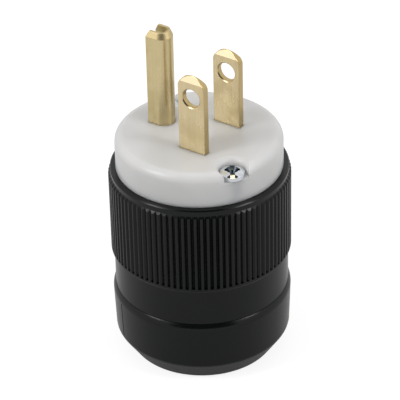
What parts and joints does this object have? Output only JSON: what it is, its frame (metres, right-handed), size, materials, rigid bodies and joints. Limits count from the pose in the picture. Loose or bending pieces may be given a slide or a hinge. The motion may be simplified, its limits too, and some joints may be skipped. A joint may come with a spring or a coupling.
{
  "type": "straight blade plug",
  "caption": "Round electrical plug: ribbed black grip, bevelled rear cap with a cord inlet, and a white front that carries flat blades and a U-folded ground pin.",
  "frame": {"origin": "centre of the rear cap's base, on which the plug stands", "axes": "+Z along the body towards the blades, +Y from the blades towards the ground pin, +X towards the line blade"},
  "size_m": [0.0382, 0.0382, 0.0729],
  "materials": {
    "white_nylon": "satin moulded nylon",
    "black_nylon": "satin moulded nylon",
    "grey_nylon": "satin moulded nylon",
    "brass": "stamped, lightly drawn",
    "screw_brass": "turned",
    "nickel_brass": "nickel plated",
    "green_steel": "green dyed",
    "zinc_steel": "zinc plated"
  },
  "bodies": {
    "root": {"front_body": "white_nylon", "line_blade": "brass", "neutral_blade": "brass", "ground_pin": "brass", "face_screws": "zinc_steel", "grip_housing": "black_nylon", "rear_cap": "black_nylon", "blade_retainer": "grey_nylon", "line_terminal_screw": "screw_brass", "neutral_terminal_screw": "nickel_brass", "ground_terminal_screw": "green_steel", "line_wire_clamp": "screw_brass", "neutral_wire_clamp": "nickel_brass", "ground_wire_clamp": "green_steel", "cap_inserts": "screw_brass", "left_cord_jaw": "grey_nylon", "right_cord_jaw": "grey_nylon"}
  },
  "joints": []
}
